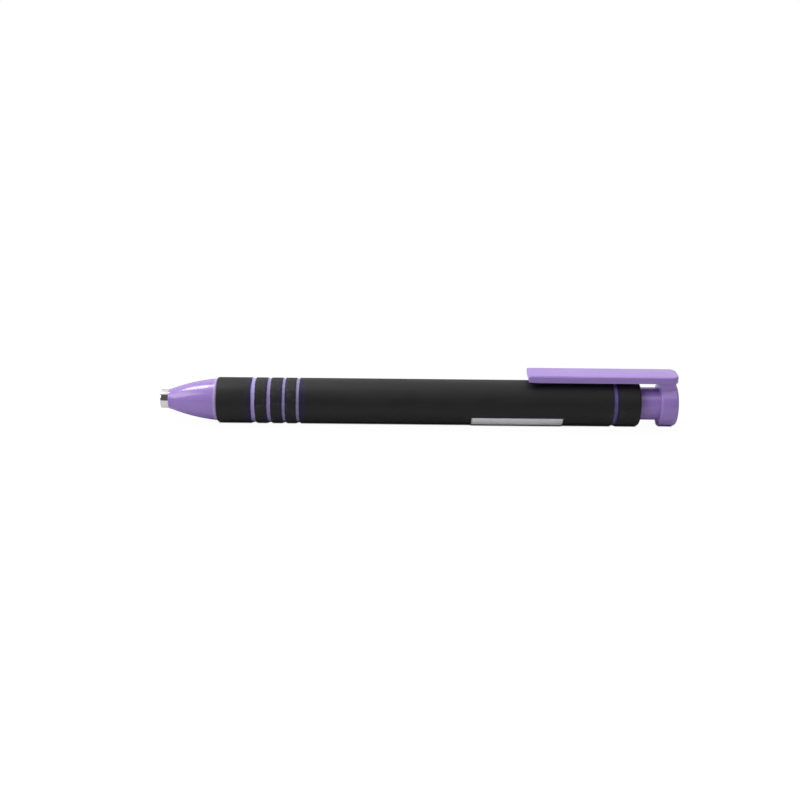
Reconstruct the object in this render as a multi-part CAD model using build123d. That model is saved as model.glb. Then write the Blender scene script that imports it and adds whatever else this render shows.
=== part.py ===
from build123d import *
import math
import os

# A knock eraser pen, lying on its barrel with the pocket clip on top.
# The pen's axis runs along X, with the tip at the low end.
# The origin is under the middle of the pen, on the surface it lies on.
# All sizes are in millimetres.

# Lengths along the pen, from the tip to the rear
tip_show = 1.95
cone_length = 12.0
barrel_length = 103.4
neck_show = 4.85
disc_length = 4.2
knock_travel = 4.0

# Clearances
fit_gap = 0.02
run_gap = 0.05
guide_gap = 0.07
seat_gap = 0.03
face_gap = 0.02
free_gap = 0.4
cut_over = 1.0
touching = 0.001

# Eraser stick, which everything else is built round
eraser_r = 1.9
eraser_recess = 0.5
eraser_rear_room = 9.25
eraser_edge = 0.2

# Chuck: three jaws on a stem
jaw_count = 3
jaw_length = 12.1
jaw_wall = 0.47
jaw_head_stand = 0.55
jaw_land = 1.1
jaw_taper = 2.5
jaw_slit = 0.5
jaw_opening = 0.5
tooth_count = 3
tooth_pitch = 0.8
tooth_depth = 0.15
stem_play = 0.2
stem_wall = 0.52
stem_socket = 3.0

# Clutch ring and the fixed sleeve behind it
ring_length = 2.0
ring_play = 0.3
ring_travel = 1.4
ring_edge = 0.15
sleeve_nose_length = 5.65
sleeve_flange = 1.0
sleeve_boss_length = 4.0
sleeve_boss_wall = 0.51

# Nose cone: a convex cone outside, a spigot inside the barrel
cone_bulge = 0.43
cone_edge = 0.15
cone_step = 0.33
spigot_length = 9.05
spigot_wall = 0.9
spigot_shoulder = 0.25
cavity_taper = 0.6
pocket_stand = 0.7

# Tip pipe: a head outside the cone and a thinner shank inside it
tip_wall = 0.35
shank_wall = 0.25
tip_edge = 0.25
tip_lip_edge = 0.08
tip_step = 0.03
shank_length = 3.0

# Barrel: a coated tube with grooves cut through the coat
barrel_wall = 1.15
barrel_shoulder = 0.3
barrel_edge = 0.5
rear_bore_length = 12.35
groove_depth = 0.2
front_groove_offsets = [9.05, 12.9, 16.5, 19.9]
front_groove_widths = [1.0, 0.9, 0.75, 0.8]
rear_groove_offset = 6.2
rear_groove_width = 0.9

# Return spring round the sleeve's boss and the stem
spring_wire = 0.5
spring_play = 0.25
spring_length = 15.0
spring_end_pitch = 0.9
spring_turns = 8
spring_end_turns = 1

# Adapter between the stem and the eraser tube
adapter_flange = 2.0
adapter_boss_length = 1.5
adapter_wall = 0.73
socket_wall = 1.0
tube_socket = 7.0

# Eraser tube
tube_play = 0.3
tube_wall = 0.55

# Knock button: neck with a snap bead, end disc and the block that carries the clip
neck_wall = 1.23
bead_length = 2.0
bead_stand = 0.25
snap_count = 2
snap_slit = 0.8
snap_depth = 8.0
disc_inset = 0.1
disc_front_edge = 0.45
disc_rear_edge = 0.45
end_wall = 2.5
block_inset = 0.25
block_rear_inset = 0.2
block_slope = 1.1
block_edge = 0.2

# Pocket clip
clip_length = 36.5
clip_width = 6.4
clip_thickness = 1.65
clip_gap = 0.88
clip_top_edge = 0.4
clip_nose_round = 1.1
clip_front_corner = 0.6
clip_rear_corner = 1.8
clip_ball_r = 1.6
clip_ball_stand = 0.4
clip_ball_offset = 2.6

# Side label: a thin patch on the near side of the barrel, low down
label_thickness = 0.1
label_length = 22.3
label_offset = 62.3
label_top_angle = 24.0
label_low_angle = 78.0

# Radii, from the eraser outwards
jaw_bore_r = eraser_r + seat_gap
jaw_relief_r = jaw_bore_r + tooth_depth
jaw_arm_r = jaw_bore_r + jaw_wall
jaw_head_r = jaw_arm_r + jaw_head_stand
ring_bore_r = jaw_arm_r + ring_play
cavity_r = jaw_head_r + jaw_opening
spigot_bore_r = cavity_r + spigot_shoulder
ring_r = spigot_bore_r - guide_gap
spigot_r = spigot_bore_r + spigot_wall
thread_bore_r = spigot_r + run_gap
main_bore_r = thread_bore_r - barrel_shoulder
barrel_r = main_bore_r + barrel_wall
stem_bore_r = eraser_r + stem_play
stem_r = stem_bore_r + stem_wall
sleeve_bore_r = stem_r + guide_gap
sleeve_boss_r = sleeve_bore_r + sleeve_boss_wall
spring_r = sleeve_boss_r + spring_play + spring_wire / 2
tube_bore_r = eraser_r + tube_play
tube_r = tube_bore_r + tube_wall
adapter_r = tube_r + fit_gap + adapter_wall
neck_bore_r = tube_r + fit_gap
neck_r = neck_bore_r + neck_wall
rear_bore_r = neck_r + run_gap
disc_r = barrel_r - disc_inset
clip_lift = barrel_r + clip_gap
tip_bore_r = eraser_r + run_gap
tip_head_r = tip_bore_r + tip_wall
shank_r = tip_bore_r + shank_wall
pocket_r = eraser_r + pocket_stand
cone_front_r = tip_head_r + tip_step
cone_rear_r = barrel_r - cone_step

# Places along X
total_length = tip_show + cone_length + barrel_length + neck_show + disc_length
tip_x = -total_length / 2
lip_x = tip_x + tip_show
barrel_x0 = lip_x + cone_length
barrel_x1 = barrel_x0 + barrel_length
disc_x = barrel_x1 + neck_show
rear_x = disc_x + disc_length
axis_z = barrel_r

# Spigot, sleeve and ring
spigot_x1 = barrel_x0 + spigot_length
sleeve_x0 = spigot_x1 - sleeve_nose_length
sleeve_x1 = spigot_x1 + sleeve_flange
ring_x1 = sleeve_x0 - face_gap
ring_x0 = ring_x1 - ring_length
ring_stop_x = ring_x0 - ring_travel - face_gap

# Jaws: the taper rests in the mouth of the ring's bore
taper_slope = jaw_head_stand / jaw_taper
taper_x0 = ring_x0 - (jaw_head_r - ring_bore_r + seat_gap) / taper_slope
jaw_x0 = taper_x0 - jaw_land
hinge_x = jaw_x0 + jaw_length

# Cavity of the cone, ahead of the pressed jaws, and the pocket in front of it
cavity_x0 = jaw_x0 - knock_travel - free_gap
pocket_x0 = lip_x + shank_length
pocket_x1 = cavity_x0 - cavity_taper

# Spring, adapter, tube, button and eraser
spring_x0 = sleeve_x1 + face_gap
spring_x1 = spring_x0 + spring_length
adapter_x0 = spring_x1 + face_gap
stem_x1 = adapter_x0 + stem_socket
tube_x0 = stem_x1 + socket_wall
adapter_x1 = tube_x0 + tube_socket
step_x = barrel_x1 - rear_bore_length
bead_x1 = step_x - face_gap
bead_x0 = bead_x1 - bead_length
tube_x1 = rear_x - end_wall
eraser_x0 = tip_x + eraser_recess
eraser_x1 = tube_x1 - knock_travel - eraser_rear_room
clip_x0 = rear_x - clip_length


def on_axis(shape):
    """Lifts a shape made about the X axis to the height of the pen's axis."""
    return Pos(0, 0, axis_z) * shape


def tube(x0, x1, outer_r, inner_r=0):
    """A tube or, with no inner radius, a round bar about the X axis."""
    section = Circle(outer_r)
    if inner_r > 0:
        section -= Circle(inner_r)
    return extrude(Plane.YZ.offset(x0) * section, x1 - x0)


def turned(outline):
    """A solid of revolution about the X axis from a closed line of (x, radius) points."""
    return revolve(make_face(Plane.XZ * outline), Axis.X)


def turned_polygon(points):
    return turned(Polyline(*points, close=True))


def rims(solid, x, radius):
    """The circular edges of a solid at one place and radius."""
    found = []
    for edge in solid.edges().filter_by(GeomType.CIRCLE):
        centre = edge.arc_center
        if abs(centre.X - x) < touching and abs(edge.radius - radius) < touching:
            if abs(centre.Y) < touching and abs(centre.Z) < touching:
                found.append(edge)
    return found


def rounded_rim(solid, x, radius, size):
    return fillet(rims(solid, x, radius), size)


def slits(x0, x1, radius, width, count, first_angle):
    """Flat cutters that reach out from the axis, evenly spaced round it."""
    blades = []
    for i in range(count):
        blade = Pos((x0 + x1) / 2, 0, radius / 2) * Box(x1 - x0, width, radius)
        blades.append(Rot(first_angle + i * 360 / count, 0, 0) * blade)
    return blades


def make_barrel():
    body = tube(barrel_x0, barrel_x1, barrel_r)
    body -= tube(barrel_x0 - cut_over, sleeve_x1, thread_bore_r)
    body -= tube(sleeve_x1 - cut_over, step_x, main_bore_r)
    body -= tube(step_x - cut_over, barrel_x1 + cut_over, rear_bore_r)
    places = [barrel_x0 + offset for offset in front_groove_offsets]
    places.append(barrel_x1 - rear_groove_offset)
    for place, width in zip(places, front_groove_widths + [rear_groove_width]):
        x0 = place - width / 2
        body -= tube(x0, x0 + width, barrel_r + cut_over, barrel_r - groove_depth)
    body = rounded_rim(body, barrel_x0, barrel_r, barrel_edge)
    return rounded_rim(body, barrel_x1, barrel_r, barrel_edge)


def make_nose_cone():
    # The flank is one arc, which bulges outwards from the straight line between its ends
    front = Vector(lip_x, cone_front_r)
    rear = Vector(barrel_x0, cone_rear_r)
    along = (rear - front).normalized()
    crown = (front + rear) / 2 + Vector(-along.Y, along.X) * cone_bulge
    flank = ThreePointArc(front, crown, rear)
    base = Polyline(rear, (barrel_x0, 0), (lip_x, 0), front)
    cone = turned(Curve() + flank + base)
    cone = rounded_rim(cone, barrel_x0, cone_rear_r, cone_edge)
    cone += tube(barrel_x0 - cut_over, spigot_x1, spigot_r)
    cone -= tube(lip_x - cut_over, pocket_x0 + cut_over, shank_r + fit_gap)
    cone -= tube(pocket_x0, pocket_x1 + touching, pocket_r)
    cone -= turned_polygon([
        (pocket_x1, 0),
        (pocket_x1, pocket_r),
        (cavity_x0, cavity_r),
        (ring_stop_x + touching, cavity_r),
        (ring_stop_x + touching, 0),
    ])
    cone -= tube(ring_stop_x, spigot_x1 + cut_over, spigot_bore_r)
    return cone


def make_tip_pipe():
    pipe = tube(tip_x, lip_x, tip_head_r) + tube(lip_x, pocket_x0, shank_r)
    pipe -= tube(tip_x - cut_over, pocket_x0 + cut_over, tip_bore_r)
    pipe = rounded_rim(pipe, tip_x, tip_head_r, tip_edge)
    return rounded_rim(pipe, tip_x, tip_bore_r, tip_lip_edge)


def make_eraser_retainer():
    return tube(pocket_x0 + face_gap, pocket_x1 - face_gap, pocket_r - fit_gap, eraser_r + seat_gap)


def make_jaws():
    """The collet, turned in one piece with teeth in its bore, then slit into its jaws."""
    collet = turned_polygon([
        (jaw_x0, jaw_bore_r),
        (jaw_x0, jaw_head_r),
        (taper_x0, jaw_head_r),
        (taper_x0 + jaw_taper, jaw_arm_r),
        (hinge_x, jaw_arm_r),
        (hinge_x, jaw_bore_r),
    ])
    for i in range(tooth_count):
        x0 = jaw_x0 + tooth_pitch * (i + 0.5)
        collet -= turned_polygon([
            (x0, jaw_bore_r - tooth_depth),
            (x0, jaw_bore_r),
            (x0 + tooth_pitch / 2, jaw_relief_r),
            (x0 + tooth_pitch / 2, jaw_bore_r - tooth_depth),
        ])
    relief_x0 = jaw_x0 + tooth_pitch * (tooth_count + 1)
    collet -= tube(relief_x0, hinge_x + cut_over, jaw_relief_r)
    for blade in slits(jaw_x0 - cut_over, hinge_x + cut_over, jaw_head_r + cut_over, jaw_slit,
                       jaw_count, 180 / jaw_count):
        collet -= blade
    top_jaw = max(collet.solids(), key=lambda solid: solid.center().Z)
    return [Rot(i * 360 / jaw_count, 0, 0) * top_jaw for i in range(jaw_count)]


def make_chuck_stem():
    return tube(hinge_x, stem_x1, stem_r, stem_bore_r)


def make_clutch_ring():
    ring = tube(ring_x0, ring_x1, ring_r, ring_bore_r)
    ring = rounded_rim(ring, ring_x0, ring_r, ring_edge)
    return rounded_rim(ring, ring_x1, ring_r, ring_edge)


def make_clutch_sleeve():
    sleeve = tube(sleeve_x0, spigot_x1, spigot_bore_r - run_gap)
    sleeve += tube(spigot_x1 + face_gap, sleeve_x1, thread_bore_r - run_gap)
    sleeve += tube(spigot_x1 - touching, sleeve_x1 + sleeve_boss_length, sleeve_boss_r)
    return sleeve - tube(sleeve_x0 - cut_over, sleeve_x1 + sleeve_boss_length + cut_over,
                         sleeve_bore_r)


def spring_point(turn, rise):
    """A point on the coil's centre line, and the direction of the wire there."""
    angle = 2 * math.pi * turn
    place = Vector(coil_rise(turn), spring_r * math.cos(angle), spring_r * math.sin(angle))
    run = 2 * math.pi * spring_r
    heading = Vector(rise, -run * math.sin(angle), run * math.cos(angle))
    return place, heading.normalized()


def main_pitch():
    """The pitch that is left for the middle turns once the close end turns are taken off."""
    end_rise = 2 * spring_end_turns * spring_end_pitch
    return (spring_length - spring_wire - end_rise) / (spring_turns - 2 * spring_end_turns)


def coil_rise(turn):
    start = spring_x0 + spring_wire / 2
    last = spring_turns - spring_end_turns
    rise = spring_end_pitch * min(turn, spring_end_turns)
    rise += main_pitch() * (min(max(turn, spring_end_turns), last) - spring_end_turns)
    return start + rise + spring_end_pitch * max(turn - last, 0)


def coil_pitch(turn):
    """The rise per turn where the wire is, taken half way where the pitch changes."""
    last = spring_turns - spring_end_turns
    if turn in (spring_end_turns, last):
        return (spring_end_pitch + main_pitch()) / 2
    if spring_end_turns < turn < last:
        return main_pitch()
    return spring_end_pitch


def two_arcs(start, start_way, end, end_way):
    """Two arcs that share a tangent, from one point and direction to another."""
    chord = end - start
    ways = start_way + end_way
    turn = 2 * (1 - start_way.dot(end_way))
    reach = chord.dot(ways)
    step = (math.sqrt(reach ** 2 + turn * chord.dot(chord)) - reach) / turn
    middle = (start + start_way * step + end - end_way * step) / 2
    first = TangentArc(start, middle, tangent=start_way)
    return [first, TangentArc(end, middle, tangent=end_way * -1)]


def make_return_spring():
    """One wire wound in quarter turns, close at both ends."""
    arcs = []
    quarters = 4 * spring_turns
    for i in range(quarters):
        start, start_way = spring_point(i / 4, coil_pitch(i / 4))
        end, end_way = spring_point((i + 1) / 4, coil_pitch((i + 1) / 4))
        arcs += two_arcs(start, start_way, end, end_way)
    path = Wire([arc.edge() for arc in arcs])
    start, start_way = spring_point(0, coil_pitch(0))
    wire_end = Plane(origin=start, z_dir=start_way)
    coil = sweep(wire_end * Circle(spring_wire / 2), path=path)
    least = min(spring_end_pitch, main_pitch()) - spring_wire
    print("spring: turns", spring_turns, "least gap between turns", round(least, 3))
    return coil


def make_tube_adapter():
    body = tube(adapter_x0 - adapter_boss_length, adapter_x0, sleeve_boss_r)
    body += tube(adapter_x0, adapter_x0 + adapter_flange, main_bore_r - guide_gap)
    body += tube(adapter_x0, adapter_x1, adapter_r)
    body -= tube(adapter_x0 - adapter_boss_length - cut_over, stem_x1, stem_r + fit_gap)
    body -= tube(stem_x1 - cut_over, tube_x0 + cut_over, stem_bore_r)
    return body - tube(tube_x0, adapter_x1 + cut_over, tube_r + fit_gap)


def make_eraser_tube():
    return tube(tube_x0 + face_gap, tube_x1 - face_gap, tube_r, tube_bore_r)


def make_eraser_stick():
    stick = tube(eraser_x0, eraser_x1, eraser_r)
    stick = rounded_rim(stick, eraser_x0, eraser_r, eraser_edge)
    return rounded_rim(stick, eraser_x1, eraser_r, eraser_edge)


def make_knock_button():
    disc = tube(disc_x, rear_x, disc_r)
    disc = rounded_rim(disc, disc_x, disc_r, disc_front_edge)
    disc = rounded_rim(disc, rear_x, disc_r, disc_rear_edge)
    button = disc + tube(bead_x0, disc_x + touching, neck_r)
    button += tube(bead_x0, bead_x1, neck_r + bead_stand)
    # The block stands on the disc and slopes forward under the clip
    block_x1 = rear_x - block_rear_inset
    block_low = disc_r / 2
    block_foot = math.sqrt(disc_r ** 2 - (clip_width / 2 - block_inset) ** 2)
    outline = Polyline(
        (disc_x + disc_front_edge, block_low),
        (disc_x + disc_front_edge, block_foot),
        (disc_x - block_slope, clip_lift),
        (block_x1, clip_lift),
        (block_x1, block_low),
        close=True,
    )
    half = clip_width / 2 - block_inset
    block = extrude(make_face(Plane.XZ * outline), half, both=True)
    corners = block.edges().filter_by(Axis.Z).group_by(Axis.X)[-1]
    button += fillet(corners, block_edge)
    button -= tube(bead_x0 - cut_over, tube_x1, neck_bore_r)
    for blade in slits(bead_x0 - cut_over, bead_x0 + snap_depth, neck_r + cut_over, snap_slit,
                       snap_count, 90):
        button -= blade
    return button


def make_pocket_clip():
    low = clip_lift
    high = clip_lift + clip_thickness
    bar = Pos((clip_x0 + rear_x) / 2, 0, (low + high) / 2) * Box(clip_length, clip_width, clip_thickness)
    uprights = bar.edges().filter_by(Axis.Z)
    bar = fillet(uprights.group_by(Axis.X)[0], clip_front_corner)
    bar = fillet(bar.edges().filter_by(Axis.Z).group_by(Axis.X)[-1], clip_rear_corner)
    nose = bar.edges().filter_by(Axis.Y).group_by(Axis.X)[0].sort_by(Axis.Z)[0]
    bar = fillet(nose, clip_nose_round)
    bar = fillet(bar.faces().sort_by(Axis.Z)[-1].edges(), clip_top_edge)
    # A low dome under the front end grips the cloth
    ball_x = clip_x0 + clip_ball_offset
    ball = Pos(ball_x, 0, low - clip_ball_stand + clip_ball_r) * Sphere(clip_ball_r)
    keep = Pos(ball_x, 0, low) * Box(2 * clip_ball_r, 2 * clip_ball_r, clip_thickness)
    return bar + (ball & keep)


def make_side_label():
    x0 = barrel_x0 + label_offset
    patch = tube(x0, x0 + label_length, barrel_r + label_thickness, barrel_r)
    reach = 2 * barrel_r
    middle = (label_top_angle + label_low_angle) / 2
    half = math.radians(label_low_angle - label_top_angle) / 2
    side = reach * math.tan(half)
    wedge = make_face(Plane.YZ.offset(x0) * Polyline((0, 0), (-reach, side), (-reach, -side), close=True))
    return patch & (Rot(middle, 0, 0) * extrude(wedge, label_length))


def save(name, shape):
    placed = on_axis(shape)
    placed.label = name
    export_step(placed, f"parts/{name}.step")


os.makedirs("parts", exist_ok=True)
save("barrel", make_barrel())
save("nose_cone", make_nose_cone())
save("tip_pipe", make_tip_pipe())
save("eraser_retainer", make_eraser_retainer())
save("clutch_ring", make_clutch_ring())
save("clutch_sleeve", make_clutch_sleeve())
save("chuck_stem", make_chuck_stem())
for number, jaw in enumerate(make_jaws(), start=1):
    save(f"chuck_jaw_{number}", jaw)
save("return_spring", make_return_spring())
save("tube_adapter", make_tube_adapter())
save("eraser_tube", make_eraser_tube())
save("eraser_stick", make_eraser_stick())
save("knock_button", make_knock_button())
save("pocket_clip", make_pocket_clip())
save("side_label", make_side_label())
print("length", round(total_length, 2), "axis height", axis_z)
print("jaw hinge x", round(hinge_x, 3), "radius", jaw_arm_r)
print("jaw front x", round(jaw_x0, 3), "eraser rear x", round(eraser_x1, 3))
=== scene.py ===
# %% [markdown]
# # A knock eraser pen
# The pen is a slim black tube with a lilac cone at the front and a lilac button and clip at the rear.
# Inside, three small jaws feed a round eraser stick through a bright metal tip. The frame that the first
# cell loads holds every solid of the pen at its true size and place, in metres. The steps after it dress
# the pieces that can be seen. Each is modelled again with finer edges, rides on the body that it belongs
# to, and gets its own finish.

# %% Load the frame
import math

import bpy
from mathutils import Matrix, Vector


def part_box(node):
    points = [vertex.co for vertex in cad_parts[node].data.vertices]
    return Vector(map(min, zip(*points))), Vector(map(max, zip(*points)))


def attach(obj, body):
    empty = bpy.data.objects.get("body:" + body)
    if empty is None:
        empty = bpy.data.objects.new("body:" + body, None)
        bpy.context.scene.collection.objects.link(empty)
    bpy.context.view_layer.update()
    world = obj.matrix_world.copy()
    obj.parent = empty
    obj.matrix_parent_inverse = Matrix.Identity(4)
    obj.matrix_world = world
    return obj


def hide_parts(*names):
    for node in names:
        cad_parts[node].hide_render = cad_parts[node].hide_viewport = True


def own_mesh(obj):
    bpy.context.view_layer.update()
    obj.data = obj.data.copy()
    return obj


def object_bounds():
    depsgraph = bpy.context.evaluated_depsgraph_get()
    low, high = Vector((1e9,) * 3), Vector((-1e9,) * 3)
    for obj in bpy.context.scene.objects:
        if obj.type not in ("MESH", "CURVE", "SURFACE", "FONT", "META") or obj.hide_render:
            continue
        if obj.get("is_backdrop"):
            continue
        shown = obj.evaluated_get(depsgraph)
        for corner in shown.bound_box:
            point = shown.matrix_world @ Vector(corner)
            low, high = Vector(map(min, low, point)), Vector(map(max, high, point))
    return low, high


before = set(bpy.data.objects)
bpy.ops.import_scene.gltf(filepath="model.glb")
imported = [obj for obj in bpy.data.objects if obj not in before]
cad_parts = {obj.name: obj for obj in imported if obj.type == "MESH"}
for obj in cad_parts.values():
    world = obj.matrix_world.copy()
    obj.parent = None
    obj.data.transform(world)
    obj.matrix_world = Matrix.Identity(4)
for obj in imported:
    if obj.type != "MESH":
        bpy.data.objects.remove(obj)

cad_low, cad_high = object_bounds()
print("size in mm:", [round(1000 * (b - a), 2) for a, b in zip(cad_low, cad_high)])

# %% [markdown]
# ## Where things are
# A turned part is easiest to describe by two numbers: how far along the pen a point is, and how far from
# the pen's axis. All the outlines below are lists of such pairs in millimetres. The axis runs along X at
# the height of the barrel's radius, because the pen lies on its barrel.

# %% Places along the pen, in millimetres
MM = 0.001
barrel_low, barrel_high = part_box("barrel")
barrel_front, barrel_rear = barrel_low.x / MM, barrel_high.x / MM
barrel_radius = (barrel_high.z - barrel_low.z) / 2 / MM
axis_height = (barrel_high.z + barrel_low.z) / 2 / MM
tip_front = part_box("tip_pipe")[0].x / MM
cone_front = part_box("nose_cone")[0].x / MM
pen_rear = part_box("knock_button")[1].x / MM
print("barrel from", round(barrel_front, 2), "to", round(barrel_rear, 2), "radius", round(barrel_radius, 2))

# %% [markdown]
# ## The camera
# The photograph looks down on the pen by a little over 22 degrees, from a hand's length and a half away.
# So near a camera shows the rings as ellipses that lean outwards towards both ends of the pen, and a
# longer lens from farther away would lose that. The camera is also rolled by a fraction of a degree,
# because the pen sinks a little to the right.

# %% Camera
camera_distance = 0.2836
camera_elevation = math.radians(22.5)
camera_roll = math.radians(0.57)
camera_raise = 0.24 * MM
aim = Vector((-4.425 * MM, 0, axis_height * MM))

camera_data = bpy.data.cameras.new("camera")
camera_data.lens = 51.75
camera_data.sensor_width = 36
camera_data.clip_start = 0.01
camera_data.clip_end = 20
camera = bpy.data.objects.new("camera", camera_data)
bpy.context.collection.objects.link(camera)
back = Vector((0, -math.cos(camera_elevation), math.sin(camera_elevation)))
camera.rotation_mode = "QUATERNION"
turned_to_pen = (-back).to_track_quat("-Z", "Y")
camera.rotation_quaternion = turned_to_pen @ Matrix.Rotation(camera_roll, 3, "Z").to_quaternion()
upwards = camera.rotation_quaternion @ Vector((0, camera_raise, 0))
camera.location = aim + back * camera_distance + upwards
bpy.context.scene.camera = camera
bpy.context.scene.view_settings.view_transform = "Standard"
print("camera at", [round(v, 4) for v in camera.location])

# %% [markdown]
# ## Tools for turned parts
# Most of this pen comes off a lathe or out of a round mould. By hand, one would extrude a single point
# along half of the section and spin that line round the axis, and these two helpers do exactly that. The
# first rounds the corners of an outline, since a moulded edge is never sharp and a rounded edge is what
# catches the light.

# %% Round the corners of an outline
def rounded(corners, steps=5):
    """Points (x, radius) of an outline given by corners (x, radius, rounding)."""
    points = []
    for i, (x, r, size) in enumerate(corners):
        here = Vector((x, r))
        if size == 0 or i in (0, len(corners) - 1):
            points.append((x, r))
            continue
        before = (Vector(corners[i - 1][:2]) - here).normalized()
        after = (Vector(corners[i + 1][:2]) - here).normalized()
        half = before.angle(after) / 2
        reach = size / math.tan(half)
        centre = here + (before + after).normalized() * (size / math.sin(half))
        start = here + before * reach - centre
        sweep = start.angle_signed(here + after * reach - centre)
        for k in range(steps + 1):
            spoke = start.copy()
            spoke.rotate(Matrix.Rotation(-sweep * k / steps, 2))
            points.append((centre.x + spoke.x, centre.y + spoke.y))
    return points


print("a corner rounded in", len(rounded([(0, 0, 0), (1, 0, 0.2), (1, 1, 0)])) - 2, "points")


# %% Spin an outline round the pen's axis
def fresh_selection():
    if bpy.context.mode != "OBJECT":
        bpy.ops.object.mode_set(mode="OBJECT")
    bpy.ops.object.select_all(action="DESELECT")


def finish_shape(piece, name, smooth_below=35):
    """Names a piece, puts its place into its mesh and smooths the faces that meet at small angles."""
    fresh_selection()
    piece.select_set(True)
    bpy.context.view_layer.objects.active = piece
    bpy.ops.object.transform_apply(location=True, rotation=True, scale=True)
    bpy.ops.object.shade_smooth_by_angle(angle=math.radians(smooth_below))
    piece.name = piece.data.name = name
    print(name, "has", len(piece.data.polygons), "faces")
    return piece


def turned(name, outline, segments=96):
    """Extrudes a point along an outline of (x, radius) and spins the line round the pen's axis."""
    fresh_selection()
    x, r = outline[0]
    bpy.ops.mesh.primitive_plane_add(size=MM, location=(x * MM, 0, (axis_height + r) * MM))
    piece = bpy.context.object
    bpy.ops.object.mode_set(mode="EDIT")
    bpy.ops.mesh.merge(type="CENTER")
    for next_x, next_r in outline[1:]:
        step = ((next_x - x) * MM, 0, (next_r - r) * MM)
        bpy.ops.mesh.extrude_region_move(TRANSFORM_OT_translate={"value": step})
        x, r = next_x, next_r
    bpy.ops.mesh.select_all(action="SELECT")
    bpy.ops.mesh.spin(steps=segments, angle=math.tau, center=(0, 0, axis_height * MM), axis=(1, 0, 0))
    bpy.ops.mesh.select_all(action="SELECT")
    bpy.ops.mesh.remove_doubles(threshold=0.002 * MM)
    bpy.ops.mesh.normals_make_consistent(inside=False)
    bpy.ops.object.mode_set(mode="OBJECT")
    return finish_shape(piece, name)


# %% [markdown]
# ## The barrel
# The real barrel is one lilac plastic tube under a black coat. Near the nose, four narrow grooves are
# turned through the coat for the fingers, and one more sits near the rear. A spun outline gives the tube,
# its bore and its grooves in one closed mesh. The coat is thick enough to round each edge of a groove, so
# every corner gets a small radius.

# %% Barrel
groove_depth = 0.2
thread_bore, main_bore, rear_bore = 4.65, 4.35, 4.05
thread_bore_rear, rear_bore_front = barrel_front + 10.05, barrel_rear - 12.35
front_groove_centres = [barrel_front + step for step in (9.05, 12.9, 16.5, 19.9)]
rear_groove_centre = barrel_rear - 6.2
grooves = list(zip(front_groove_centres, (1.0, 0.9, 0.75, 0.8))) + [(rear_groove_centre, 0.9)]

barrel_corners = [(barrel_front, thread_bore, 0), (barrel_front, barrel_radius, 0.38)]
floor_radius = barrel_radius - groove_depth
for centre, width in grooves:
    barrel_corners += [
        (centre - width / 2 - 0.03, barrel_radius, 0.07),
        (centre - width / 2 + 0.05, floor_radius, 0.09),
        (centre + width / 2 - 0.05, floor_radius, 0.09),
        (centre + width / 2 + 0.03, barrel_radius, 0.07),
    ]
barrel_corners += [
    (barrel_rear, barrel_radius, 0.5),
    (barrel_rear, rear_bore, 0.1),
    (rear_bore_front, rear_bore, 0),
    (rear_bore_front, main_bore, 0),
    (thread_bore_rear, main_bore, 0),
    (thread_bore_rear, thread_bore, 0),
    (barrel_front, thread_bore, 0),
]
barrel = turned("coated_barrel", rounded(barrel_corners), segments=144)
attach(barrel, "holder")
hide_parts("barrel")

# %% [markdown]
# ## The nose cone
# The cone is a glossy moulding whose flank bulges slightly, like the nose of a bullet, from the metal tip
# to just short of the barrel's edge. An arc through three points gives that flank. Behind it, a spigot
# goes into the barrel and carries a thread, which shows only when the cone is screwed off.

# %% Nose cone
def arc_through(start, end, bulge, steps):
    """Points on the arc from start to end that stands off their chord by bulge."""
    start, end = Vector(start), Vector(end)
    chord = end - start
    side = Vector((-chord.y, chord.x)).normalized()
    radius = (chord.length ** 2 / 4 + bulge ** 2) / (2 * bulge)
    centre = (start + end) / 2 - side * (radius - bulge)
    sweep = 2 * math.asin(chord.length / 2 / radius)
    points = []
    for k in range(steps + 1):
        spoke = start - centre
        spoke.rotate(Matrix.Rotation(-sweep * k / steps, 2))
        points.append(tuple(centre + spoke))
    return points


cone_front_radius = 2.33
cone_rear_radius = barrel_radius - 0.33
cone_bulge = 0.43
thread_root = 4.28
spigot_rear = barrel_front + 9.05
shank_seat, retainer_pocket, jaw_cavity, ring_bore = 2.22, 2.6, 3.45, 3.7
pocket_front, pocket_rear = cone_front + 3.0, cone_front + 5.8
cavity_front, cavity_rear = cone_front + 6.4, barrel_front - 1.9
flank = arc_through((cone_front, cone_front_radius), (barrel_front, cone_rear_radius), cone_bulge, 28)
mouth = [(cone_front, shank_seat, 0), (cone_front, flank[1][1] - 0.06, 0.07), (*flank[1], 0)]
cone_outline = rounded(mouth, 4)[:-1]
cone_outline += flank[1:-1]
rim = [(*flank[-2], 0), (barrel_front, cone_rear_radius, 0.15), (barrel_front, thread_root, 0)]
cone_outline += rounded(rim)[1:]
cone_outline += rounded([
    (barrel_front, thread_root, 0),
    (spigot_rear, thread_root, 0.25),
    (spigot_rear, ring_bore, 0.1),
    (cavity_rear, ring_bore, 0),
    (cavity_rear, jaw_cavity, 0),
    (cavity_front, jaw_cavity, 0),
    (pocket_rear, retainer_pocket, 0),
    (pocket_front, retainer_pocket, 0),
    (pocket_front, shank_seat, 0),
    (cone_front, shank_seat, 0),
])[1:]
nose_cone = turned("nose_cone_shell", cone_outline, segments=128)
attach(nose_cone, "nose")
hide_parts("nose_cone")

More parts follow.
